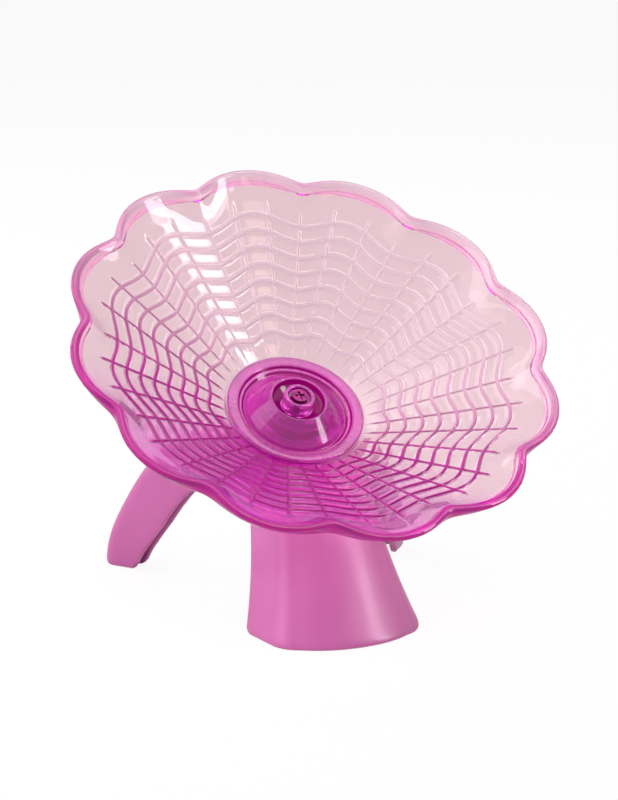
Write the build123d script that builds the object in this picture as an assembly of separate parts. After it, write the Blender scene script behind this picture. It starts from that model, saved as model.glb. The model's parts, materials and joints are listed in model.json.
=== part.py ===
from build123d import *
import math
import os

# Saucer-shaped running wheel for a small pet: a tilted dish with a petalled rim spins on a fixed
# axle, which stands in the round head of a hollow three-legged stand. Lengths are millimetres.

# Rim and lobes of the dish
tip_r = 90.0
notch_r = 84.0
petal_count = 12
notch_half_angle = 3.4
notch_shoulder = 0.55
rim_height = 100.0
tilt = 35.0

# Wall of the dish, seen in its own frame: the height zero is the plane of the rim
dish_wall = 2.0
cone_foot_r = 26.0
cone_foot_z = -34.0
cone_slope = 30.3
border_width = 6.0
floor_z = -36.5
lip_thickness = 3.0
lip_top = 2.0
lip_bottom = -3.0
lip_round = 0.8
lip_tip_taper = 2.2
lip_seat_z = 1.3
lip_root_z = -1.2

# Web of ribs on the inside of the cone: rings that sway with the petals, and straight spokes
web_ring_count = 4
web_ring_gap = 11.0
web_ring_width = 1.5
web_spoke_count = 36
web_spoke_width = 1.0
web_rib_height = 1.0
web_margin = 1.15
web_sway_share = 0.03

# Hub moulding on the floor of the dish
hub_r = 25.1
hub_fit = 0.4
ring_top_r = 22.6
ring_top_z = -34.0
trough_r = 18.2
trough_z = -35.0
crater_rim_r = 10.9
crater_rim_z = -28.6
crater_wall = 1.5
crater_floor = 1.6

# Ball bearings, front and rear alike
bore_r = 3.0
bearing_r = 8.5
bearing_width = 6.0
bearing_gap = 6.0
inner_ring_r = 4.75
outer_ring_r = 6.75
ball_r = 1.75
ball_count = 7
race_play = 0.03
pocket_play = 0.08
cage_thickness = 1.2
cage_low = 2.35
cage_high = 0.5
shield_thickness = 0.3
shield_inset = 0.05
shield_play = 0.2

# Boss of the dish that carries the bearings, and its retainer
front_bearing_top = -33.5
boss_r = 12.0
boss_lip_r = 7.2
retainer_thickness = 2.0
retainer_inner_r = 7.3
retainer_screw_r = 0.9
retainer_screw_head_r = 1.6
retainer_screw_head = 0.8
retainer_screw_length = 5.0
retainer_screw_count = 3
retainer_circle_r = 10.2

# Axle and what is on it
collar_r = 4.6
collar_length = 3.0
nut_r = 5.0
nut_length = 4.0
washer_thickness = 0.8
rear_washer_r = 6.5
front_washer_r = 4.6
front_washer_bore_r = 1.6
spacer_r = 4.3
axle_fit = 0.05
screw_depth = 12.0

# Knob and its screw
cap_r = 5.7
cap_top = -26.6
cap_round = 1.4
cap_recess_r = 4.0
cap_recess = 1.2
cap_gap = 0.6
screw_r = 1.4
screw_fit = 0.1
screw_head_r = 3.0
screw_head = 1.3
cross_width = 0.9
cross_length = 3.6
cross_depth = 0.7

# Head of the stand: an open well round the boss, with the seat of the axle on its floor
well_clearance = 5.2
head_wall = 2.4
head_gap = 2.5
head_floor = 2.5
seat_r = 6.6
seat_height = 1.5
skirt_depth = 4.0
nut_room = 8.0

# Front leg: a flared channel that leans back, open to the rear
leg_wall = 2.4
front_foot_width = 57.0
front_mid_width = 41.4
front_top_width = 35.0
front_mid_height = 28.0
front_top_height = 54.0
front_foot_y = -31.1
front_lean = 27.3
front_foot_bulge = 11.5
front_mid_bulge = 8.0
front_top_bulge = 6.5
front_side_depth = 19.0
front_side_flare = 4.0
front_corner_share = 0.22

# Rear legs: arched channels, open on the inside of the arch. Each row of an arch gives a place along
# the leg's reach, its height, and the depth of the channel there
rear_leg_width = 10.0
rear_leg_depth = 20.0
rear_corner = 4.5
left_root_x = -4.2
left_root_y = 31.4
left_height = 50.0
left_reach = 65.5
left_heading = 131.0
left_arch_shares = [
    (0.0, 1.02, 0.90), (0.25, 1.0, 0.95), (0.47, 0.93, 1.0), (0.67, 0.76, 1.0),
    (0.80, 0.53, 0.98), (0.93, 0.26, 0.88), (1.0, 0.0, 0.74), (1.05, -0.26, 0.66),
]
right_root_x = 19.6
right_root_y = 17.4
right_height = 47.0
right_reach = 57.5
right_heading = 49.0
right_arch_shares = [
    (0.0, 1.0, 0.80), (0.20, 0.99, 0.85), (0.36, 0.93, 0.92), (0.51, 0.80, 0.97),
    (0.71, 0.55, 0.90), (0.887, 0.255, 0.75), (1.0, 0.0, 0.65), (1.1, -0.26, 0.58),
]

# Length by which a cutting solid runs past the face that it cuts
overrun = 1.0


def tube(inner_r, outer_r, bottom, top):
    """A straight ring about the axle between two heights."""
    solid = extrude(Pos(0, 0, bottom) * Circle(outer_r), top - bottom)
    if inner_r > 0:
        solid -= extrude(Pos(0, 0, bottom - overrun) * Circle(inner_r), top - bottom + 2 * overrun)
    return solid


def on_circle(radius, angle, height):
    a = math.radians(angle)
    return (radius * math.cos(a), radius * math.sin(a), height)


def petal_outline(tip, notch, height):
    """Closed outline of wide outward arcs with a small hollow between each pair."""
    pitch = 360 / petal_count
    shoulder = notch + notch_shoulder * (tip - notch) / (tip_r - notch_r)
    edges = []
    for k in range(petal_count):
        mid = k * pitch
        start = on_circle(shoulder, mid - pitch / 2 + notch_half_angle, height)
        end = on_circle(shoulder, mid + pitch / 2 - notch_half_angle, height)
        again = on_circle(shoulder, mid + pitch / 2 + notch_half_angle, height)
        edges.append(ThreePointArc(start, on_circle(tip, mid, height), end))
        edges.append(ThreePointArc(end, on_circle(notch, mid + pitch / 2, height), again))
    return make_face(Wire(edges))


def round_outline(radius, height):
    """Circle cut into the same stretches as a petal outline."""
    pitch = 360 / petal_count
    edges = []
    for k in range(petal_count):
        mid = k * pitch
        start = on_circle(radius, mid - pitch / 2 + notch_half_angle, height)
        end = on_circle(radius, mid + pitch / 2 - notch_half_angle, height)
        again = on_circle(radius, mid + pitch / 2 + notch_half_angle, height)
        edges.append(ThreePointArc(start, on_circle(radius, mid, height), end))
        edges.append(ThreePointArc(end, on_circle(radius, mid + pitch / 2, height), again))
    return make_face(Wire(edges))


def swaying_outline(radius):
    """Closed curve that swings out at each petal and in at each notch."""
    points = []
    for k in range(petal_count):
        points.append(on_circle(radius * (1 + web_sway_share), 360 * k / petal_count, 0))
        points.append(on_circle(radius * (1 - web_sway_share), 360 * (k + 0.5) / petal_count, 0))
    return make_face(Spline(points, periodic=True))


def cone_height(radius):
    """Height of the inside of the dish on its straight cone."""
    return cone_foot_z + (radius - cone_foot_r) * math.tan(math.radians(cone_slope))


# The cone ends where the border of the dish begins, inside the notches of the lip
web_edge_r = notch_r - lip_thickness - border_width

# Heights of the stack along the axle, from the front bearing down to the nut
front_bearing_bottom = front_bearing_top - bearing_width
rear_bearing_top = front_bearing_bottom - bearing_gap
rear_bearing_bottom = rear_bearing_top - bearing_width
boss_bottom = rear_bearing_bottom
retainer_bottom = boss_bottom - retainer_thickness
seat_top = rear_bearing_bottom - collar_length
well_floor = seat_top - seat_height
head_underside = well_floor - head_floor
underside_z = floor_z - dish_wall
head_top = underside_z - head_gap
well_r = boss_r + well_clearance
head_r = well_r + head_wall


def make_web():
    """Rings and spokes as one layer that lies on the cone and reaches into its wall."""
    outer_end = web_edge_r - web_margin
    inner_end = cone_foot_r + web_margin
    ribs = []
    for k in range(web_ring_count):
        middle = outer_end / (1 + web_sway_share) - k * web_ring_gap
        ribs.append(swaying_outline(middle + web_ring_width / 2) - swaying_outline(middle - web_ring_width / 2))
    spoke = Pos((inner_end + outer_end) / 2, 0, 0) * Rectangle(outer_end - inner_end, web_spoke_width)
    for k in range(web_spoke_count):
        ribs.append(Rot(0, 0, 360 * (k + 0.5) / web_spoke_count) * spoke)
    prism = extrude(Pos(0, 0, floor_z) * (Sketch() + ribs), lip_top - floor_z)
    root = cone_height(cone_foot_r)
    end = cone_height(web_edge_r)
    line = Polyline([
        (cone_foot_r, 0, root - dish_wall / 2),
        (web_edge_r, 0, end - dish_wall / 2),
        (web_edge_r, 0, end + web_rib_height),
        (cone_foot_r, 0, root + web_rib_height),
    ], close=True)
    return prism & revolve(make_face(line), Axis.Z)


def make_dish():
    drop = dish_wall / math.cos(math.radians(cone_slope))
    inset_tip = tip_r - lip_thickness
    inset_notch = notch_r - lip_thickness
    outer = loft([
        round_outline(cone_foot_r, cone_foot_z - drop),
        round_outline(web_edge_r, cone_height(web_edge_r) - drop),
        petal_outline(inset_tip + lip_round, inset_notch + lip_round, lip_root_z),
        petal_outline(inset_tip + lip_round, inset_notch + lip_round, lip_top - lip_round),
    ], ruled=True)
    lip = loft([
        petal_outline(tip_r - lip_round - lip_tip_taper, notch_r - lip_round, lip_bottom),
        petal_outline(tip_r - lip_tip_taper, notch_r, lip_bottom + lip_round),
        petal_outline(tip_r, notch_r, lip_top - lip_round),
        petal_outline(tip_r - lip_round, notch_r - lip_round, lip_top),
    ], ruled=True)
    lip -= loft([
        petal_outline(inset_tip - lip_tip_taper, inset_notch, lip_bottom - overrun),
        petal_outline(inset_tip, inset_notch, lip_root_z),
    ], ruled=True)
    floor = tube(0, cone_foot_r + dish_wall / 2, underside_z, cone_foot_z - drop + dish_wall / 2)
    hollow = loft([
        round_outline(cone_foot_r, cone_foot_z),
        round_outline(web_edge_r, cone_height(web_edge_r)),
        petal_outline(inset_tip, inset_notch, lip_seat_z),
        petal_outline(inset_tip + lip_round, inset_notch + lip_round, lip_top + overrun),
    ], ruled=True)
    dish = outer + lip + floor - hollow
    dish -= tube(0, hub_r + hub_fit, floor_z, cone_foot_z + overrun)
    dish += tube(0, boss_r, boss_bottom, front_bearing_top)
    dish -= tube(0, boss_lip_r, boss_bottom - overrun, front_bearing_top + overrun)
    dish -= tube(0, bearing_r, front_bearing_bottom, front_bearing_top + overrun)
    dish -= tube(0, bearing_r, boss_bottom - overrun, rear_bearing_top)
    for k in range(retainer_screw_count):
        x, y, z = on_circle(retainer_circle_r, 90 + 360 * k / retainer_screw_count, 0)
        pilot = boss_bottom - overrun
        depth = retainer_screw_length - retainer_thickness + 2 * overrun
        dish -= Pos(x, y, 0) * tube(0, retainer_screw_r + screw_fit, pilot, pilot + depth)
    return dish + make_web()


def make_hub_cone():
    """Flange with a rounded ring, cone and crater, turned about the axle."""
    top = [
        (hub_r, floor_z),
        (hub_r, (floor_z + ring_top_z) / 2),
        (ring_top_r, ring_top_z),
        (trough_r, trough_z),
        (crater_rim_r, crater_rim_z),
        (crater_rim_r - crater_wall, crater_rim_z),
        (crater_rim_r - crater_wall, front_bearing_top + crater_floor),
        (cap_r + cap_gap, front_bearing_top + crater_floor),
        (cap_r + cap_gap, front_bearing_top),
    ]
    under = [
        (boss_r, front_bearing_top),
        (boss_r + hub_fit, front_bearing_top - crater_floor),
        (boss_r + hub_fit, floor_z),
    ]
    line = Polyline([(r, 0, z) for r, z in top + under], close=True)
    return revolve(make_face(line), Axis.Z)


def make_bearing(top):
    """Rings, balls, crown cage and shields of one ball bearing whose upper face is at this height."""
    middle = top - bearing_width / 2
    bottom = top - bearing_width
    pitch_r = (inner_ring_r + outer_ring_r) / 2
    groove = Pos(0, 0, middle) * Torus(pitch_r, ball_r + race_play)
    inner_ring = tube(bore_r, inner_ring_r, bottom, top) - groove
    outer_ring = tube(outer_ring_r, bearing_r, bottom, top) - groove
    rebate = shield_inset + shield_thickness
    cage = tube(pitch_r - cage_thickness / 2, pitch_r + cage_thickness / 2, middle - cage_low, middle + cage_high)
    balls = []
    for k in range(ball_count):
        x, y, z = on_circle(pitch_r, 360 * k / ball_count, middle)
        balls.append(Pos(x, y, z) * Sphere(ball_r))
        cage -= Pos(x, y, z) * Sphere(ball_r + pocket_play)
    shield_r = inner_ring_r + shield_play
    shields = [
        tube(shield_r, outer_ring_r, bottom + shield_inset, bottom + rebate),
        tube(shield_r, outer_ring_r, top - rebate, top - shield_inset),
    ]
    return inner_ring, outer_ring, Compound(children=balls), cage, Compound(children=shields)


def make_retainer():
    ring = tube(retainer_inner_r, boss_r, retainer_bottom, boss_bottom)
    screws = []
    for k in range(retainer_screw_count):
        x, y, z = on_circle(retainer_circle_r, 90 + 360 * k / retainer_screw_count, 0)
        ring -= Pos(x, y, 0) * tube(0, retainer_screw_r + screw_fit, retainer_bottom - overrun, boss_bottom + overrun)
        shank = tube(0, retainer_screw_r, retainer_bottom, retainer_bottom + retainer_screw_length)
        head = tube(0, retainer_screw_head_r, retainer_bottom - retainer_screw_head, retainer_bottom)
        screws.append(Pos(x, y, 0) * (shank + head))
    return ring, Compound(children=screws)


def make_axle():
    """Shaft with its collar, tapped at the front for the screw of the knob."""
    front_end = front_bearing_top
    tail = head_underside - washer_thickness - nut_length - overrun
    axle = tube(0, bore_r - axle_fit, tail, front_end)
    axle += tube(0, collar_r, seat_top, rear_bearing_bottom)
    axle -= tube(0, screw_r + screw_fit, front_end - screw_depth, front_end + overrun)
    return axle


def make_nut():
    top = head_underside - washer_thickness
    hexagon = Pos(0, 0, top - nut_length) * RegularPolygon(nut_r, 6)
    return extrude(hexagon, nut_length) - tube(0, bore_r, top - nut_length - overrun, top + overrun)


def make_cap():
    bottom = front_bearing_top + washer_thickness
    cap = tube(0, cap_r, bottom, cap_top)
    cap = fillet(cap.edges().group_by(Axis.Z)[-1], cap_round)
    cap -= tube(0, cap_recess_r, cap_top - cap_recess, cap_top + overrun)
    return cap - tube(0, screw_r + screw_fit, bottom - overrun, cap_top)


def make_cap_screw():
    seat = cap_top - cap_recess
    screw = tube(0, screw_head_r, seat, seat + screw_head)
    screw += tube(0, screw_r, front_bearing_top - screw_depth + overrun, seat)
    for turn in (0, 90):
        slot = Pos(0, 0, seat + screw_head - cross_depth) * Rot(0, 0, turn) * Rectangle(cross_length, cross_width)
        screw -= extrude(slot, cross_depth + overrun)
    return screw


def channel_face(width, depth, corner, plane):
    """Cross-section of a leg: flat on the inside of the arch, round-cornered on the outside."""
    half = width / 2
    outline = Polyline([(-depth / 2, -half), (depth / 2, -half), (depth / 2, half), (-depth / 2, half)], close=True)
    face = make_face(outline)
    face = fillet(face.vertices().group_by(Axis.X)[-1], corner)
    return plane * face


def arch(root_x, root_y, height, reach, heading, shares, wall):
    """Leg along an arch in an upright plane; a wall above zero gives the hollow inside the leg."""
    a = math.radians(heading)
    along = (math.cos(a), math.sin(a))
    points = [(reach * s, height * h, rear_leg_depth * d) for s, h, d in shares]
    sections = []
    for i, (s, z, depth) in enumerate(points):
        before = points[max(i - 1, 0)]
        after = points[min(i + 1, len(points) - 1)]
        run = after[0] - before[0]
        rise = after[1] - before[1]
        length = math.hypot(run, rise)
        out = (-rise / length, run / length)
        plane = Plane(
            origin=(root_x + along[0] * s, root_y + along[1] * s, z),
            x_dir=(along[0] * out[0], along[1] * out[0], out[1]),
            z_dir=(along[0] * run / length, along[1] * run / length, rise / length),
        )
        if wall > 0:
            plane = plane * Pos(-(wall + overrun) / 2, 0, 0)
            sections.append(channel_face(rear_leg_width - 2 * wall, depth - wall + overrun, rear_corner - wall, plane))
        else:
            sections.append(channel_face(rear_leg_width, depth, rear_corner, plane))
    return loft(sections)


def front_section(width, y, bulge, height, wall):
    """Floor plan of the front leg at one height: bowed front, rounded corners, splayed sides."""
    half = width / 2 - wall
    front = y + wall
    back = y + front_side_depth + (overrun if wall > 0 else 0)
    flare = half + front_side_flare
    corner_in = half * (1 - front_corner_share)
    corner_y = front - bulge * (1 - (1 - front_corner_share) ** 2)
    corner_back = front + half * front_corner_share
    side_x = half + front_side_flare * (corner_back - front) / front_side_depth
    edges = [
        Line((-flare, back, height), (-side_x, corner_back, height)),
        ThreePointArc(
            (-side_x, corner_back, height),
            (-half + half * front_corner_share / 4, front - bulge * front_corner_share / 2, height),
            (-corner_in, corner_y, height),
        ),
        ThreePointArc((-corner_in, corner_y, height), (0, front - bulge, height), (corner_in, corner_y, height)),
        ThreePointArc(
            (corner_in, corner_y, height),
            (half - half * front_corner_share / 4, front - bulge * front_corner_share / 2, height),
            (side_x, corner_back, height),
        ),
        Line((side_x, corner_back, height), (flare, back, height)),
        Line((flare, back, height), (-flare, back, height)),
    ]
    return make_face(Wire(edges))


def front_leg(wall):
    lean = math.tan(math.radians(front_lean))
    stations = [
        (front_foot_width, front_foot_bulge, 0),
        (front_mid_width, front_mid_bulge, front_mid_height),
        (front_top_width, front_top_bulge, front_top_height),
    ]
    sections = [front_section(w, front_foot_y + lean * z, b, z, wall) for w, b, z in stations]
    return loft(sections)


def make_stand(place):
    """One hollow moulding: three channel legs run into a round head with an open well."""
    arches = [
        (left_root_x, left_root_y, left_height, left_reach, left_heading, left_arch_shares),
        (right_root_x, right_root_y, right_height, right_reach, right_heading, right_arch_shares),
    ]
    legs = front_leg(0)
    for sizes in arches:
        legs += arch(*sizes, 0)
    hollows = front_leg(leg_wall)
    for sizes in arches:
        hollows += arch(*sizes, leg_wall)
    wide = rim_height + tip_r
    above = place * tube(0, wide, head_top, head_top + wide)
    above_hollow = place * tube(0, wide, head_top - leg_wall, head_top + wide)
    below = Pos(0, 0, -wide) * extrude(Rectangle(2 * wide, 2 * wide), wide)
    legs = legs - (hollows - above_hollow)
    head = tube(0, head_r, head_underside - skirt_depth, head_top)
    stand = legs + place * head
    stand -= place * tube(0, well_r, well_floor, head_top + overrun)
    stand -= place * tube(0, well_r, head_underside - nut_room, head_underside)
    stand += place * tube(0, seat_r, head_underside, seat_top)
    stand -= place * tube(0, bore_r, head_underside - overrun, seat_top + overrun)
    return stand - above - below


def write_parts():
    dish_frame = Plane(
        origin=(0, 0, rim_height),
        x_dir=(1, 0, 0),
        z_dir=(0, -math.sin(math.radians(tilt)), math.cos(math.radians(tilt))),
    )
    place = dish_frame.location
    retainer, retainer_screws = make_retainer()
    nodes = {
        "running_dish": make_dish(),
        "hub_cone": make_hub_cone(),
        "axle": make_axle(),
        "axle_nut": make_nut(),
        "axle_rear_washer": tube(bore_r, rear_washer_r, head_underside - washer_thickness, head_underside),
        "axle_front_washer": tube(
            front_washer_bore_r, front_washer_r, front_bearing_top, front_bearing_top + washer_thickness
        ),
        "bearing_spacer": tube(bore_r, spacer_r, rear_bearing_top, front_bearing_bottom),
        "bearing_retainer": retainer,
        "retainer_screws": retainer_screws,
        "axle_cap": make_cap(),
        "cap_screw": make_cap_screw(),
    }
    for side, top in (("front", front_bearing_top), ("rear", rear_bearing_top)):
        inner_ring, outer_ring, balls, cage, shields = make_bearing(top)
        nodes[side + "_bearing_inner_ring"] = inner_ring
        nodes[side + "_bearing_outer_ring"] = outer_ring
        nodes[side + "_bearing_balls"] = balls
        nodes[side + "_bearing_cage"] = cage
        nodes[side + "_bearing_shields"] = shields
    nodes = {name: place * solid for name, solid in nodes.items()}
    nodes["stand_shell"] = make_stand(place)
    box = Compound(children=[nodes["running_dish"], nodes["stand_shell"]]).bounding_box()
    centre = Pos(-(box.min.X + box.max.X) / 2, -(box.min.Y + box.max.Y) / 2, 0)
    os.makedirs("parts", exist_ok=True)
    for name, solid in nodes.items():
        export_step(Compound((centre * solid).solids()), "parts/" + name + ".step")
    print("shift", centre.position)
    print("size", box.size)


write_parts()
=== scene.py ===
import json
import math

import bmesh
import bpy
from mathutils import Matrix, Vector


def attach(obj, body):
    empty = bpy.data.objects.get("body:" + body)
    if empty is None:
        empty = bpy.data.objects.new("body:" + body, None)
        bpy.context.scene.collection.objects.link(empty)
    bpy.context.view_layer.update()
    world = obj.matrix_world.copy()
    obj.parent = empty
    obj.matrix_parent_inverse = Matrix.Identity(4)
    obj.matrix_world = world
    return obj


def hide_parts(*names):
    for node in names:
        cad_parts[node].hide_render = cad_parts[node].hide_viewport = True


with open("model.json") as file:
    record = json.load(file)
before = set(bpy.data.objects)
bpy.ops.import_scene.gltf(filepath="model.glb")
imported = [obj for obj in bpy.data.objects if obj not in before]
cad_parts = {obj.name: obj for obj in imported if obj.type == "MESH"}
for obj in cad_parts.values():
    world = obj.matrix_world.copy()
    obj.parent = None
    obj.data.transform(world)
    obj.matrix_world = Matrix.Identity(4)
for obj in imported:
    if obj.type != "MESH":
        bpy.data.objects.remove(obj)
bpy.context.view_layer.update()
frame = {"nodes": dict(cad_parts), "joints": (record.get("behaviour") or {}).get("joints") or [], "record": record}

# The camera, and the tilted axle that the wheel is built round.
# The dish turns about one tilted axle, and its parts are laid out in the plane of the rim, whose
# middle is the joint's point. The camera stands where the picture was taken from.
mm = 0.001
spin = next(joint for joint in frame["joints"] if joint["name"] == "dish_spin")
rim_middle = Vector(spin["pos_m"])
axle_way = Vector(spin["axis"]).normalized()
across = Vector((1, 0, 0))
uphill = axle_way.cross(across)
dish_place = Matrix((across, uphill, axle_way)).transposed().to_4x4()
dish_place.translation = rim_middle

eye_offset = Vector((-297.8, -713.5, 172.8)) * mm
eye_right = Vector((0.9241, -0.3821, 0.0))
eye_up = Vector((0.0924, 0.2237, 0.9703))
eye_back = Vector((-0.3708, -0.8966, 0.2419))
eye_turn = Matrix((eye_right, eye_up, eye_back)).transposed().to_4x4()
lens_mm = 100.5
sensor_mm = 36.0

camera_data = bpy.data.cameras.new("camera")
camera_data.lens = lens_mm
camera_data.sensor_width = sensor_mm
camera = bpy.data.objects.new("camera", camera_data)
camera.matrix_world = Matrix.Translation(rim_middle + eye_offset) @ eye_turn
bpy.context.scene.collection.objects.link(camera)
bpy.context.scene.camera = camera

# The running dish.
# One moulding of clear dyed polystyrene, pale face on and magenta edge on: a bearing boss, a cone
# with a web of low ribs on its inside, and a petalled border that ends in a thick rolled lip.
petals = 12
spokes = 36
tip_r = 90.0 * mm
notch_r = 84.0 * mm
notch_softness = 2.2 * mm
floor_z = -36.5 * mm
wall = 2.0 * mm
cone_foot_r = 26.0 * mm
cone_foot_z = -34.0 * mm
cone_slope = math.tan(math.radians(30.3))
cone_drop = wall * math.sqrt(1 + cone_slope ** 2)
hub_seat_r = 25.5 * mm

boss_r = 12.0 * mm
boss_top = -33.5 * mm
boss_bottom = -51.5 * mm
boss_edge = 0.4 * mm
boss_root = 0.6 * mm
bearing_r = 8.5 * mm
bearing_width = 6.0 * mm
boss_lip_r = 7.2 * mm

wave_share = 0.03
wave_start = 5.0 * mm
ring_first_r = 71.7 * mm
ring_pitch = 5.5 * mm
ring_count = 8
ring_half_width = 0.52 * mm
ring_height = 1.0 * mm
ring_section = ((-1, 0), (-0.62, 0.62), (0, 1), (0.62, 0.62), (1, 0))
spoke_half_width = 0.32 * mm
spoke_height = 0.75 * mm
spoke_section = ((-1, 0), (-0.6, 0.6), (0, 1), (0.6, 0.6), (1, 0))
spoke_end_r = 76.0 * mm
spoke_end_round = 0.5 * mm
columns_between_spokes = 6
gap_start = 0.1
gap_share = 0.8
rib_plastic_from = 0.2

border_swell = 0.10
border_shares = (0.15, 0.32, 0.5, 0.68, 0.84, 0.95)
under_shares = (0.02, 0.12, 0.3, 0.5, 0.7, 0.88, 1.0)
lip_thickness = 3.0 * mm
lip_seat_z = 1.3 * mm
lip_taper = 2.2 * mm
lip_root_z = -1.2 * mm
# The lip's section from its inner edge over the top and back underneath: how far in from the tip
# and how high it is, in millimetres, and its share of the taper.
lip_section = (
    (2.6, 1.53, 0), (2.1, 1.78, 0), (1.6, 1.94, 0), (1.1, 2.0, 0), (0.6, 1.88, 0), (0.2, 1.5, 0.02),
    (0.0, 0.8, 0.08), (0.0, -0.4, 0.4), (0.0, -1.4, 0.75), (0.1, -2.2, 1.0), (0.5, -2.75, 1.0),
    (1.1, -3.0, 1.0), (1.8, -2.95, 1.0), (2.4, -2.6, 0.95), (2.8, -2.0, 0.8), (3.2, -1.5, 0.4),
)
cone_under_radii = (66 * mm, 56 * mm, 46 * mm, 36 * mm, 28 * mm)


def petal_radius(angle, tip, notch):
    """Radius of the petalled outline: wide lobes joined by a small soft hollow."""
    half = math.pi / petals
    crossing = notch - notch_softness * math.log(2)
    x, y = crossing * math.cos(half), crossing * math.sin(half)
    sagitta = tip - x
    lobe = (y * y + sagitta * sagitta) / (2 * sagitta)
    centre = tip - lobe
    nearest = round(angle / (2 * half))
    total = 0
    for k in (nearest - 1, nearest, nearest + 1):
        off = angle - k * 2 * half
        reach = lobe * lobe - (centre * math.sin(off)) ** 2
        if reach > 0:
            radius = centre * math.cos(off) + math.sqrt(reach)
            total += math.exp((radius - tip) / notch_softness)
    return tip + notch_softness * math.log(total)


def cone_height(radius):
    return cone_foot_z + (radius - cone_foot_r) * cone_slope


def web_radius(share_r, angle):
    """Radius of a wavy line of the web: it follows the petals, and is round at the hub."""
    ramp = min(max((share_r - cone_foot_r) / wave_start, 0), 1)
    return share_r * (1 + wave_share * ramp * math.cos(petals * angle))


def dish_columns():
    """Angle, sideways offset and rise of the mesh's columns: a spoke, then the web between."""
    columns = []
    pitch = 2 * math.pi / spokes
    for k in range(spokes):
        middle = (k + 0.5) * pitch
        for offset, rise in spoke_section:
            columns.append((middle, offset * spoke_half_width, rise))
        for j in range(columns_between_spokes):
            share = gap_start + gap_share * j / (columns_between_spokes - 1)
            columns.append((middle + pitch * share, 0, 0))
    return columns


# A row of the wall is a rule for its place at an angle, the share of a ring's and of a spoke's
# rise that it has, and how far it counts as thick, which gives it the deeper plastic.
def round_row(radius, height):
    return lambda angle: (radius, height), 0, 0, 0


def web_row(share_r, ring_rise, spoke_rise):
    def place(angle):
        radius = web_radius(share_r, angle)
        return radius, cone_height(radius)
    return place, ring_rise, spoke_rise, ring_rise


def border_row(share):
    """A row between the end of the web and the lip, rising a little more steeply outwards."""
    def place(angle):
        web = web_radius(spoke_end_r + spoke_half_width, angle)
        lip = petal_radius(angle, tip_r - lip_thickness, notch_r - lip_thickness)
        swell = share + border_swell * math.sin(math.pi * share)
        radius = web + (lip - web) * swell
        height = cone_height(web) + (lip_seat_z - cone_height(web)) * share
        return radius, height
    return place, 0, 0, 0


def lip_row(inset, height, taper):
    def place(angle):
        tip = tip_r - inset - taper * lip_taper
        return petal_radius(angle, tip, notch_r - inset), height
    return place, 0, 0, 1


def under_row(share):
    """Underside of the border, from the root of the lip in to the cone's underside."""
    def place(angle):
        outer = petal_radius(angle, tip_r - lip_thickness, notch_r - lip_thickness)
        inner = web_radius(spoke_end_r, angle)
        radius = outer + (inner - outer) * share
        height = lip_root_z + (cone_height(inner) - cone_drop - lip_root_z) * share
        return radius, height
    return place, 0, 0, 0


def web_rows():
    """Rows of the cone's inside: the start of the spokes, the rings, and the spokes' ends."""
    rows = [web_row(cone_foot_r + 0.3 * mm, 0, 0)]
    rows.append(web_row(cone_foot_r + 1.4 * mm, 0, 0.3))
    rows.append(web_row(cone_foot_r + 3.0 * mm, 0, 1))
    rings = [ring_first_r - k * ring_pitch for k in reversed(range(ring_count))]
    for k, ring in enumerate(rings):
        for offset, rise in ring_section:
            rows.append(web_row(ring + offset * ring_half_width, rise, 1))
        after = rings[k + 1] if k + 1 < ring_count else spoke_end_r
        for share in (0.36, 0.64):
            rows.append(web_row(ring + (after - ring) * share, 0, 1))
    rows.append(web_row(spoke_end_r - spoke_end_round, 0, 1))
    rows.append(web_row(spoke_end_r, 0, 0.55))
    rows.append(web_row(spoke_end_r + spoke_half_width, 0, 0))
    return rows


def dish_rows():
    """Rows of the closed wall, from the boss outwards over the inside and back underneath."""
    underside = floor_z - wall
    inside = (
        (bearing_r, boss_top), (boss_r - boss_edge, boss_top), (boss_r, boss_top - boss_edge),
        (boss_r, floor_z), (hub_seat_r, floor_z), (hub_seat_r, cone_foot_z - 0.6 * mm),
        (hub_seat_r + 0.3 * mm, cone_foot_z - 0.1 * mm),
    )
    underneath = tuple((radius, cone_height(radius) - cone_drop) for radius in cone_under_radii) + (
        (26.8 * mm, cone_foot_z - cone_drop + 0.4 * mm), (25.4 * mm, underside + 0.6 * mm),
        (24.6 * mm, underside), (boss_r + boss_root, underside), (boss_r, underside - boss_root),
        (boss_r, boss_bottom), (bearing_r, boss_bottom), (bearing_r, boss_bottom + bearing_width),
        (boss_lip_r, boss_bottom + bearing_width), (boss_lip_r, boss_top - bearing_width),
        (bearing_r, boss_top - bearing_width),
    )
    rows = [round_row(radius, height) for radius, height in inside]
    rows += web_rows()
    rows += [border_row(share) for share in border_shares]
    rows += [lip_row(inset * mm, height * mm, taper) for inset, height, taper in lip_section]
    rows += [under_row(share) for share in under_shares]
    rows += [round_row(radius, height) for radius, height in underneath]
    return rows


def shade_smooth(mesh):
    mesh.polygons.foreach_set("use_smooth", [True] * len(mesh.polygons))


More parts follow.
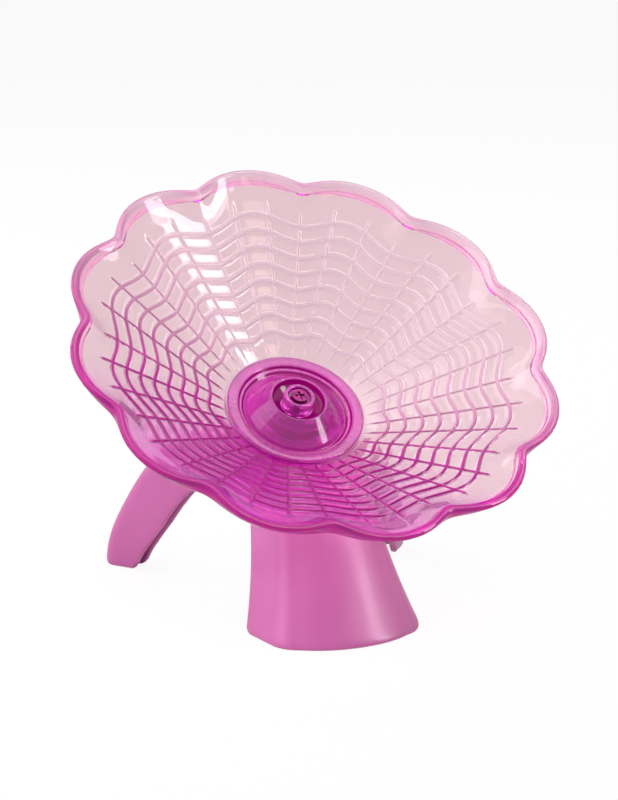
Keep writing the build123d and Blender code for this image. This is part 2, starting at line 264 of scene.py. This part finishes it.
def dish_mesh():
    """Wall of the dish as a closed grid, with its ribs' rises and its thick places at its points.

    wall_way is the way that the cone's wall faces there, with no rib on it.
    """
    rows, columns = dish_rows(), dish_columns()
    points, ring_rises, spoke_rises, thick, wall_ways = [], [], [], [], []
    lean = math.atan(cone_slope)
    for place, ring_rise, spoke_rise, thickness in rows:
        for angle, sideways, rise in columns:
            radius, height = place(angle)
            shift = sideways / radius if radius > cone_foot_r else sideways / cone_foot_r
            points.append(dish_place @ Vector((
                radius * math.cos(angle + shift), radius * math.sin(angle + shift), height,
            )))
            ring_rises.append(ring_rise)
            spoke_rises.append(spoke_rise * rise)
            thick.append(max(thickness, spoke_rise * rise))
            outwards = across * math.cos(angle) + uphill * math.sin(angle)
            wall_ways.extend(axle_way * math.cos(lean) - outwards * math.sin(lean))
    faces = []
    width = len(columns)
    for i in range(len(rows)):
        for j in range(width):
            a, b = i * width + j, i * width + (j + 1) % width
            below = (i + 1) % len(rows) * width
            faces.append((below + j, below + (j + 1) % width, b, a))
    mesh = bpy.data.meshes.new("running_dish_clear")
    mesh.from_pydata(points, [], faces)
    stored = {"ring_rise": ring_rises, "spoke_rise": spoke_rises, "thickness": thick}
    for name, values in stored.items():
        mesh.attributes.new(name, "FLOAT", "POINT").data.foreach_set("value", values)
    ways = mesh.attributes.new("wall_way", "FLOAT_VECTOR", "POINT")
    ways.data.foreach_set("vector", wall_ways)
    shade_smooth(mesh)
    return mesh


def web_of_ribs():
    """Tree: lifts the rings and spokes of the web off the cone, along the axle."""
    tree = bpy.data.node_groups.new("web of ribs", "GeometryNodeTree")
    face = tree.interface
    face.new_socket("Geometry", in_out="INPUT", socket_type="NodeSocketGeometry")
    for name in ("Ring Height", "Spoke Height"):
        face.new_socket(name, in_out="INPUT", socket_type="NodeSocketFloat")
    face.new_socket("Way", in_out="INPUT", socket_type="NodeSocketVector")
    for name in ("Wall Material", "Rib Material"):
        face.new_socket(name, in_out="INPUT", socket_type="NodeSocketMaterial")
    face.new_socket("Geometry", in_out="OUTPUT", socket_type="NodeSocketGeometry")
    nodes, links = tree.nodes, tree.links
    source, result = nodes.new("NodeGroupInput"), nodes.new("NodeGroupOutput")

    def stored(name):
        attribute = nodes.new("GeometryNodeInputNamedAttribute")
        attribute.data_type = "FLOAT"
        attribute.inputs["Name"].default_value = name
        return attribute.outputs["Attribute"]

    highest = nodes.new("ShaderNodeMath")
    highest.operation = "MAXIMUM"
    rises = (("ring_rise", "Ring Height"), ("spoke_rise", "Spoke Height"))
    for k, (name, height) in enumerate(rises):
        lift = nodes.new("ShaderNodeMath")
        lift.operation = "MULTIPLY"
        links.new(stored(name), lift.inputs[0])
        links.new(source.outputs[height], lift.inputs[1])
        links.new(lift.outputs["Value"], highest.inputs[k])
    offset = nodes.new("ShaderNodeVectorMath")
    offset.operation = "SCALE"
    links.new(source.outputs["Way"], offset.inputs["Vector"])
    links.new(highest.outputs["Value"], offset.inputs["Scale"])
    move = nodes.new("GeometryNodeSetPosition")
    links.new(source.outputs["Geometry"], move.inputs["Geometry"])
    links.new(offset.outputs["Vector"], move.inputs["Offset"])
    realize = nodes.new("GeometryNodeRealizeInstances")
    links.new(move.outputs["Geometry"], realize.inputs["Geometry"])
    raised = nodes.new("ShaderNodeMath")
    raised.operation = "GREATER_THAN"
    raised.inputs[1].default_value = rib_plastic_from
    links.new(stored("thickness"), raised.inputs[0])
    flat = nodes.new("GeometryNodeSetMaterial")
    links.new(realize.outputs["Geometry"], flat.inputs["Geometry"])
    links.new(source.outputs["Wall Material"], flat.inputs["Material"])
    finish = nodes.new("GeometryNodeSetMaterial")
    links.new(flat.outputs["Geometry"], finish.inputs["Geometry"])
    links.new(raised.outputs["Value"], finish.inputs["Selection"])
    links.new(source.outputs["Rib Material"], finish.inputs["Material"])
    links.new(finish.outputs["Geometry"], result.inputs["Geometry"])
    return tree


def add_object(name, mesh):
    made = bpy.data.objects.new(name, mesh)
    bpy.context.scene.collection.objects.link(made)
    return made


def grown(mesh, tree, values, name):
    """The plain mesh that a tree makes of a mesh, as an object at the origin."""
    seed = add_object(name + "_seed", mesh)
    modifier = seed.modifiers.new("grow", "NODES")
    modifier.node_group = tree
    for item in tree.interface.items_tree:
        if item.in_out == "INPUT" and item.name in values:
            modifier[item.identifier] = values[item.name]
    graph = bpy.context.evaluated_depsgraph_get()
    made = bpy.data.meshes.new_from_object(seed.evaluated_get(graph))
    bpy.data.objects.remove(seed)
    return add_object(name, made)


def set_inputs(shader, **values):
    for name, value in values.items():
        shader.inputs[name.replace("_", " ")].default_value = value


def handling_marks():
    """Group: fine scuffs and dust on a glossy moulding, as a roughness and a height."""
    group = bpy.data.node_groups.new("handling marks", "ShaderNodeTree")
    face = group.interface
    face.new_socket("Coordinates", in_out="INPUT", socket_type="NodeSocketVector")
    plain = {"Scuff Scale": 60, "Clean Roughness": 0.05, "Scuffed Roughness": 0.2}
    for name, value in plain.items():
        face.new_socket(name, in_out="INPUT", socket_type="NodeSocketFloat").default_value = value
    for name in ("Roughness", "Height"):
        face.new_socket(name, in_out="OUTPUT", socket_type="NodeSocketFloat")
    nodes, links = group.nodes, group.links
    source = nodes.new("NodeGroupInput")
    result = nodes.new("NodeGroupOutput")
    patches = nodes.new("ShaderNodeTexNoise")
    set_inputs(patches, Detail=4)
    links.new(source.outputs["Coordinates"], patches.inputs["Vector"])
    links.new(source.outputs["Scuff Scale"], patches.inputs["Scale"])
    spread = nodes.new("ShaderNodeMapRange")
    set_inputs(spread, From_Min=0.45, From_Max=0.75)
    links.new(patches.outputs["Fac"], spread.inputs["Value"])
    links.new(source.outputs["Clean Roughness"], spread.inputs["To Min"])
    links.new(source.outputs["Scuffed Roughness"], spread.inputs["To Max"])
    links.new(spread.outputs["Result"], result.inputs["Roughness"])
    links.new(patches.outputs["Fac"], result.inputs["Height"])
    return group


marks = handling_marks()


def worn(nodes, links, shader, **values):
    """Lays the handling marks over a material's roughness, and returns their node."""
    where = nodes.new("ShaderNodeTexCoord")
    wear = nodes.new("ShaderNodeGroup")
    wear.node_tree = marks
    set_inputs(wear, **values)
    links.new(where.outputs["Object"], wear.inputs["Coordinates"])
    links.new(wear.outputs["Roughness"], shader.inputs["Roughness"])
    return wear


clear_ior = 1.43
shadow_tint = (1.0, 0.86, 0.94, 1)


def clear_plastic(name, face_tint, edge_tint, edge_start, edge_end, clearness, clean, scuffed):
    """Clear dyed plastic: pale where its wall is seen face on, deep where it is seen edge on.

    The tint turns between edge_start and edge_end of the way to edge on. A lamp shines through
    the plastic, and the share that isn't clearness is scattered by the plastic itself.
    """
    material = bpy.data.materials.new(name)
    material.use_nodes = True
    nodes, links = material.node_tree.nodes, material.node_tree.links
    shader = nodes["Principled BSDF"]
    set_inputs(shader, IOR=clear_ior, Transmission_Weight=clearness)
    wall_way = nodes.new("ShaderNodeAttribute")
    wall_way.attribute_name = "wall_way"
    turned = nodes.new("ShaderNodeVectorTransform")
    turned.vector_type = "NORMAL"
    turned.convert_from = "OBJECT"
    turned.convert_to = "WORLD"
    links.new(wall_way.outputs["Vector"], turned.inputs["Vector"])
    edge_on = nodes.new("ShaderNodeLayerWeight")
    set_inputs(edge_on, Blend=0.5)
    links.new(turned.outputs["Vector"], edge_on.inputs["Normal"])
    depth = nodes.new("ShaderNodeMapRange")
    depth.interpolation_type = "SMOOTHSTEP"
    set_inputs(depth, From_Min=edge_start, From_Max=edge_end)
    links.new(edge_on.outputs["Facing"], depth.inputs["Value"])
    deepen = nodes.new("ShaderNodeValToRGB")
    deepen.color_ramp.elements[0].color = (*face_tint, 1)
    deepen.color_ramp.elements[1].color = (*edge_tint, 1)
    links.new(depth.outputs["Result"], deepen.inputs["Fac"])
    links.new(deepen.outputs["Color"], shader.inputs["Base Color"])
    worn(nodes, links, shader, Clean_Roughness=clean, Scuffed_Roughness=scuffed)
    path = nodes.new("ShaderNodeLightPath")
    pass_by = nodes.new("ShaderNodeBsdfTransparent")
    set_inputs(pass_by, Color=shadow_tint)
    mix = nodes.new("ShaderNodeMixShader")
    links.new(path.outputs["Is Shadow Ray"], mix.inputs["Fac"])
    links.new(shader.outputs["BSDF"], mix.inputs[1])
    links.new(pass_by.outputs["BSDF"], mix.inputs[2])
    links.new(mix.outputs["Shader"], nodes["Material Output"].inputs["Surface"])
    return material


dish_wall_plastic = clear_plastic(
    "clear pink wall plastic", face_tint=(0.95, 0.72, 0.83), edge_tint=(0.74, 0.0, 0.68),
    edge_start=0.46, edge_end=0.70, clearness=0.91, clean=0.015, scuffed=0.05)
dish_rib_plastic = clear_plastic(
    "clear pink rib and lip plastic", face_tint=(0.95, 0.74, 0.85), edge_tint=(0.54, 0.0, 0.32),
    edge_start=0.08, edge_end=0.50, clearness=0.57, clean=0.02, scuffed=0.06)
dish = grown(dish_mesh(), web_of_ribs(), {
    "Ring Height": ring_height,
    "Spoke Height": spoke_height,
    "Way": tuple(axle_way),
    "Wall Material": dish_wall_plastic,
    "Rib Material": dish_rib_plastic,
}, "running_dish_clear")
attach(dish, "dish")
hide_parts("running_dish")


# The hub and the knob.
# The hub is a darker clear moulding on the dish's floor: a flange, a groove, a cone and a crater.
# The knob stands in the crater and is screwed to the fixed axle.

# Each section goes once round its closed outline: radius, height and rounding of a corner in
# millimetres, and 1 where the faces up to the next corner lie in a groove, the crater, the knob's
# recess or the hub's inside, and get the second material, painted dark there as shade.
hub_section = (
    (25.2, -36.5, 0, 0), (25.2, -34.2, 0.1, 0), (25.6, -33.95, 0.2, 0), (25.2, -33.4, 0.5, 0),
    (23.8, -33.5, 1.0, 0), (21.6, -33.75, 0.4, 1), (20.7, -35.1, 0.3, 0), (20.1, -35.1, 0.3, 1),
    (18.9, -36.2, 0.3, 0), (18.2, -35.1, 0.6, 0), (11.3, -29.0, 0.9, 0), (10.6, -28.4, 0.5, 0),
    (9.9, -28.4, 0.4, 1), (9.3, -30.7, 0.5, 1), (5.9, -32.2, 0.2, 1), (5.9, -32.5, 0, 0),
    (6.3, -32.6, 0, 0), (6.3, -33.5, 0, 0), (12.0, -33.5, 0, 1), (12.4, -35.1, 0.4, 1),
    (12.4, -36.5, 0, 0),
)
knob_section = (
    (1.5, -32.7, 0, 0), (5.7, -32.7, 0.3, 0), (5.7, -26.6, 1.5, 0), (4.3, -26.6, 0.5, 1),
    (4.0, -27.8, 0.3, 1), (1.5, -27.8, 0, 0),
)
hub_segments = 144
knob_segments = 96
corner_steps = 5
longest_cut = 0.45


def round_corner(before, corner, after, radius):
    """Points of a rounded corner of a section. It takes less than half of either side."""
    a, b, c = Vector(before), Vector(corner), Vector(after)
    cut = min(radius, (a - b).length * longest_cut, (c - b).length * longest_cut)
    start, end = b + (a - b).normalized() * cut, b + (c - b).normalized() * cut
    made = []
    for k in range(corner_steps + 1):
        t = k / corner_steps
        made.append((1 - t) ** 2 * start + 2 * t * (1 - t) * b + t * t * end)
    return made


def turned_mesh(name, section, segments):
    """A closed section turned about the axle; its recessed faces get the material with painted shade."""
    outline, deep = [], []
    for k, (r, z, rounding, depth) in enumerate(section):
        before, after = section[k - 1], section[(k + 1) % len(section)]
        corner = [Vector((r, z))]
        if rounding > 0:
            corner = round_corner(before[:2], (r, z), after[:2], rounding)
        outline += corner
        deep += [min(depth, before[3])] * (len(corner) - 1) + [depth]
    points, faces = [], []
    for p in outline:
        for j in range(segments):
            turn = 2 * math.pi * j / segments
            points.append(dish_place @ Vector((
                p.x * mm * math.cos(turn), p.x * mm * math.sin(turn), p.y * mm,
            )))
    for i in range(len(outline)):
        for j in range(segments):
            low, high = i * segments, (i + 1) % len(outline) * segments
            after = (j + 1) % segments
            faces.append((low + j, low + after, high + after, high + j))
    mesh = bpy.data.meshes.new(name)
    mesh.from_pydata(points, [], faces)
    work = bmesh.new()
    work.from_mesh(mesh)
    bmesh.ops.recalc_face_normals(work, faces=work.faces)
    work.to_mesh(mesh)
    work.free()
    painted_shade_faces = [deep[i // segments] for i in range(len(faces))]
    mesh.polygons.foreach_set("material_index", painted_shade_faces)
    ways = mesh.attributes.new("wall_way", "FLOAT_VECTOR", "POINT")
    ways.data.foreach_set("vector", list(axle_way) * len(points))
    shade_smooth(mesh)
    return mesh


hub_plastic = clear_plastic(
    "clear magenta hub plastic", face_tint=(0.76, 0.10, 0.63), edge_tint=(0.56, 0.0, 0.38),
    edge_start=0.4, edge_end=1.0, clearness=0.76, clean=0.07, scuffed=0.12)
# The same magenta painted much darker: painted shade for the hub's groove, its crater, its inside under the cone
# and the knob's recess.
shade_painted_hub_plastic = clear_plastic(
    "magenta hub plastic with painted shade", face_tint=(0.30, 0.0, 0.16), edge_tint=(0.30, 0.0, 0.16),
    edge_start=0.4, edge_end=1.0, clearness=0.3, clean=0.05, scuffed=0.1)


def of_hub_plastic(name, mesh):
    moulding = add_object(name, mesh)
    moulding.data.materials.append(hub_plastic)
    moulding.data.materials.append(shade_painted_hub_plastic)
    return moulding


hub = of_hub_plastic("hub_cone_clear", turned_mesh("hub_cone_clear", hub_section, hub_segments))
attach(hub, "dish")
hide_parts("hub_cone")

knob = of_hub_plastic("axle_knob", turned_mesh("axle_knob", knob_section, knob_segments))
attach(knob, "stand")
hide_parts("axle_cap")


# The stand.
# One hollow moulding of glossy pink plastic: a flared front leg, two arched rear legs and a round
# head that holds the axle. Its edges and feet are rounded as the mould rounds them.
stand_edge_round = 0.8 * mm
stand_edge_steps = 3
stand_edge_angle = math.radians(35)
merge_distance = 0.001 * mm
foot_round = 3.2 * mm
foot_draw_in = 2.4 * mm
foot_draw_share = 0.25
foot_levels = [level * mm for level in (1.0, 1.6, 2.3, 3.2)]
stand_pinks = ((0.35, (0.48, 0.10, 0.32, 1)), (0.7, (0.54, 0.13, 0.37, 1)))


def stand_material():
    material = bpy.data.materials.new("pink stand plastic")
    material.use_nodes = True
    nodes, links = material.node_tree.nodes, material.node_tree.links
    shader = nodes["Principled BSDF"]
    set_inputs(shader, IOR=1.5, Coat_Weight=0.15, Coat_Roughness=0.15)
    where = nodes.new("ShaderNodeTexCoord")
    clouds = nodes.new("ShaderNodeTexNoise")
    set_inputs(clouds, Scale=22, Detail=3)
    links.new(where.outputs["Object"], clouds.inputs["Vector"])
    ramp = nodes.new("ShaderNodeValToRGB")
    for element, (position, pink) in zip(ramp.color_ramp.elements, stand_pinks):
        element.position = position
        element.color = pink
    links.new(clouds.outputs["Fac"], ramp.inputs["Fac"])
    links.new(ramp.outputs["Color"], shader.inputs["Base Color"])
    worn(nodes, links, shader, Clean_Roughness=0.36, Scuffed_Roughness=0.42)
    return material


def cut_feet(work):
    """Adds level rows of points to the foot of each leg, which leave its shape as it is."""
    for level in foot_levels:
        cut = work.verts[:] + work.edges[:] + work.faces[:]
        bmesh.ops.bisect_plane(
            work, geom=cut, plane_co=(0, 0, level), plane_no=(0, 0, 1), dist=merge_distance)


def leg_of(place):
    if place.y > 0:
        return "right rear" if place.x > 0 else "left rear"
    return "front"


def round_feet(mesh):
    """Draws the foot of each leg in towards the floor, in a quarter round."""
    legs = {}
    for vertex in mesh.vertices:
        if vertex.co.z < foot_round:
            legs.setdefault(leg_of(vertex.co), []).append(vertex)
    for foot in legs.values():
        middle = sum((vertex.co for vertex in foot), Vector()) / len(foot)
        for vertex in foot:
            inwards = Vector((middle.x - vertex.co.x, middle.y - vertex.co.y, 0))
            near_floor = 1 - max(vertex.co.z, 0) / foot_round
            reach = min(foot_draw_in, inwards.length * foot_draw_share)
            vertex.co += inwards.normalized() * reach * (1 - math.sqrt(1 - near_floor ** 2))


def softened_copy(node, name):
    """A merged copy of a node's mesh, with its edges and feet rounded."""
    mesh = frame["nodes"][node].data.copy()
    work = bmesh.new()
    work.from_mesh(mesh)
    bmesh.ops.remove_doubles(work, verts=work.verts, dist=merge_distance)
    cut_feet(work)
    work.to_mesh(mesh)
    work.free()
    seed = add_object(name + "_seed", mesh)
    rounding = seed.modifiers.new("rounding", "BEVEL")
    rounding.width = stand_edge_round
    rounding.segments = stand_edge_steps
    rounding.limit_method = "ANGLE"
    rounding.angle_limit = stand_edge_angle
    rounding.use_clamp_overlap = False
    rounding.harden_normals = True
    graph = bpy.context.evaluated_depsgraph_get()
    made = bpy.data.meshes.new_from_object(seed.evaluated_get(graph))
    bpy.data.objects.remove(seed)
    made.materials.clear()
    round_feet(made)
    shade_smooth(made)
    return add_object(name, made)


stand = softened_copy("stand_shell", "stand_moulding")
stand.data.materials.append(stand_material())
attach(stand, "stand")
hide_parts("stand_shell")


# The axle, the bearings and the screws.
# Turned, pressed and ground steel inside the hub, with a plastic ring that keeps the bearings in.
# The solids have the right shape, so they only get a finish. The knob's screw is lacquered pink.
def steel(name, color, roughness, grain):
    """Steel with a fine grain in its gloss and its surface."""
    material = bpy.data.materials.new(name)
    material.use_nodes = True
    nodes, links = material.node_tree.nodes, material.node_tree.links
    shader = nodes["Principled BSDF"]
    set_inputs(shader, Base_Color=(*color, 1), Metallic=1.0)
    wear = worn(
        nodes, links, shader,
        Scuff_Scale=grain, Clean_Roughness=roughness, Scuffed_Roughness=roughness * 2)
    bump = nodes.new("ShaderNodeBump")
    set_inputs(bump, Distance=0.02 * mm)
    links.new(wear.outputs["Height"], bump.inputs["Height"])
    links.new(bump.outputs["Normal"], shader.inputs["Normal"])
    return material


finishes = {
    "shaft_steel": steel("turned steel", (0.60, 0.60, 0.61), 0.28, 900),
    "screw_steel": steel("plated screw steel", (0.72, 0.71, 0.70), 0.2, 700),
    "bearing_steel": steel("ground bearing steel", (0.70, 0.70, 0.71), 0.1, 400),
    "cage_steel": steel("pressed cage steel", (0.55, 0.55, 0.55), 0.32, 1200),
    # Parts of hub plastic inside the hub take the darker copy, painted dark as shade.
    "hub_plastic": shade_painted_hub_plastic,
}
screw_lacquer = steel("pink screw lacquer", (0.18, 0.022, 0.11), 0.34, 700)
replaced = {"running_dish", "hub_cone", "axle_cap", "stand_shell"}
for part in frame["record"]["subparts"]:
    if part["node"] in replaced:
        continue
    finish = screw_lacquer if part["node"] == "cap_screw" else finishes[part["material_slot"]]
    for material_slot in frame["nodes"][part["node"]].material_slots:
        material_slot.material = finish


# Floor, room and light.
# A white floor in a plain white room. Four soft lamps show only as reflections: a tall window on
# the right, a small warm one, and two broad ones on the ceiling. Three light the plastic itself.
floor_half = 4.0
floor_white = 0.9
floor_glow_share = 0.9
room_grey = (0.50, 0.50, 0.50, 1)
camera_white = (1, 1, 1, 1)
seen_in_plastic = (0.78, 0.76, 0.69, 1)


def bent_rays(nodes, links, path):
    """1 for a ray that came by a reflection or through clear plastic, and 0 for any other."""
    bent = nodes.new("ShaderNodeMath")
    bent.operation = "MAXIMUM"
    links.new(path.outputs["Is Glossy Ray"], bent.inputs[0])
    links.new(path.outputs["Is Transmission Ray"], bent.inputs[1])
    return bent.outputs["Value"]


def white_floor():
    """White to the camera and in the plastic, but for a small share that keeps the shadow."""
    material = bpy.data.materials.new("white floor")
    material.use_nodes = True
    nodes, links = material.node_tree.nodes, material.node_tree.links
    shader = nodes["Principled BSDF"]
    set_inputs(shader, Base_Color=(floor_white, floor_white, floor_white, 1), Roughness=0.9)
    path = nodes.new("ShaderNodeLightPath")
    bent = bent_rays(nodes, links, path)
    seen = nodes.new("ShaderNodeMath")
    seen.operation = "MAXIMUM"
    links.new(path.outputs["Is Camera Ray"], seen.inputs[0])
    links.new(bent, seen.inputs[1])
    level = nodes.new("ShaderNodeMath")
    level.operation = "MULTIPLY"
    level.inputs[1].default_value = floor_glow_share
    links.new(seen.outputs["Value"], level.inputs[0])
    shade = nodes.new("ShaderNodeValToRGB")
    shade.color_ramp.elements[0].color = camera_white
    shade.color_ramp.elements[1].color = seen_in_plastic
    links.new(bent, shade.inputs["Fac"])
    glow = nodes.new("ShaderNodeEmission")
    links.new(shade.outputs["Color"], glow.inputs["Color"])
    mix = nodes.new("ShaderNodeMixShader")
    links.new(level.outputs["Value"], mix.inputs["Fac"])
    links.new(shader.outputs["BSDF"], mix.inputs[1])
    links.new(glow.outputs["Emission"], mix.inputs[2])
    links.new(mix.outputs["Shader"], nodes["Material Output"].inputs["Surface"])
    return material


floor_corners = [
    (-floor_half, -floor_half, 0), (floor_half, -floor_half, 0),
    (floor_half, floor_half, 0), (-floor_half, floor_half, 0),
]
floor_mesh = bpy.data.meshes.new("floor")
floor_mesh.from_pydata(floor_corners, [], [(0, 1, 2, 3)])
floor_mesh.materials.append(white_floor())
floor = add_object("floor", floor_mesh)


def studio_world():
    """Grey light all round, white to the camera, and a warmer white in the plastic."""
    world = bpy.data.worlds.new("studio")
    world.use_nodes = True
    nodes, links = world.node_tree.nodes, world.node_tree.links
    room = nodes["Background"]
    set_inputs(room, Color=room_grey)
    seen = nodes.new("ShaderNodeBackground")
    set_inputs(seen, Color=camera_white)
    through = nodes.new("ShaderNodeBackground")
    set_inputs(through, Color=seen_in_plastic)
    path = nodes.new("ShaderNodeLightPath")
    behind = nodes.new("ShaderNodeMixShader")
    links.new(bent_rays(nodes, links, path), behind.inputs["Fac"])
    links.new(room.outputs["Background"], behind.inputs[1])
    links.new(through.outputs["Background"], behind.inputs[2])
    mix = nodes.new("ShaderNodeMixShader")
    links.new(path.outputs["Is Camera Ray"], mix.inputs["Fac"])
    links.new(behind.outputs["Shader"], mix.inputs[1])
    links.new(seen.outputs["Background"], mix.inputs[2])
    links.new(mix.outputs["Shader"], nodes["World Output"].inputs["Surface"])
    return world


# Light crosses several clear walls and ribs on its way, and each of them has two surfaces.
clear_bounces = 24
bpy.context.scene.world = studio_world()
bpy.context.scene.view_settings.view_transform = "Standard"
bpy.context.scene.cycles.max_bounces = clear_bounces
bpy.context.scene.cycles.transmission_bounces = clear_bounces


def soft_lamp(name, place, width, height, power, mirrored, tint=(1, 1, 1)):
    """A lamp that faces the dish, and either shows as a reflection or lights the plastic."""
    data = bpy.data.lights.new(name, "AREA")
    data.shape = "RECTANGLE"
    data.size = width
    data.size_y = height
    data.energy = power
    data.color = tint
    lamp = bpy.data.objects.new(name, data)
    lamp.location = place
    lamp.rotation_mode = "QUATERNION"
    lamp.rotation_quaternion = (rim_middle - Vector(place)).to_track_quat("-Z", "Y")
    lamp.visible_camera = False
    lamp.visible_diffuse = not mirrored
    lamp.visible_glossy = mirrored
    bpy.context.scene.collection.objects.link(lamp)


warm_white = (1.0, 0.84, 0.62)
soft_lamp("window", (0.97, -0.79, 0.66), 0.32, 1.15, 12.5, mirrored=True)
soft_lamp("warm wall", (0.55, -1.15, 0.95), 0.16, 0.36, 0.45, mirrored=True, tint=warm_white)
soft_lamp("overhead", (0.52, 0.52, 1.29), 0.60, 0.60, 5.5, mirrored=False)
soft_lamp("ceiling", (0.56, -0.11, 1.38), 0.90, 0.90, 8.5, mirrored=True)
soft_lamp("left wall", (-1.2, -0.45, 0.75), 1.20, 1.00, 7.5, mirrored=False)
soft_lamp("left ceiling", (-0.96, 0.35, 1.18), 2.00, 1.20, 15.0, mirrored=True)
soft_lamp("back left", (-0.92, 0.77, 1.00), 1.30, 0.70, 11.0, mirrored=False)
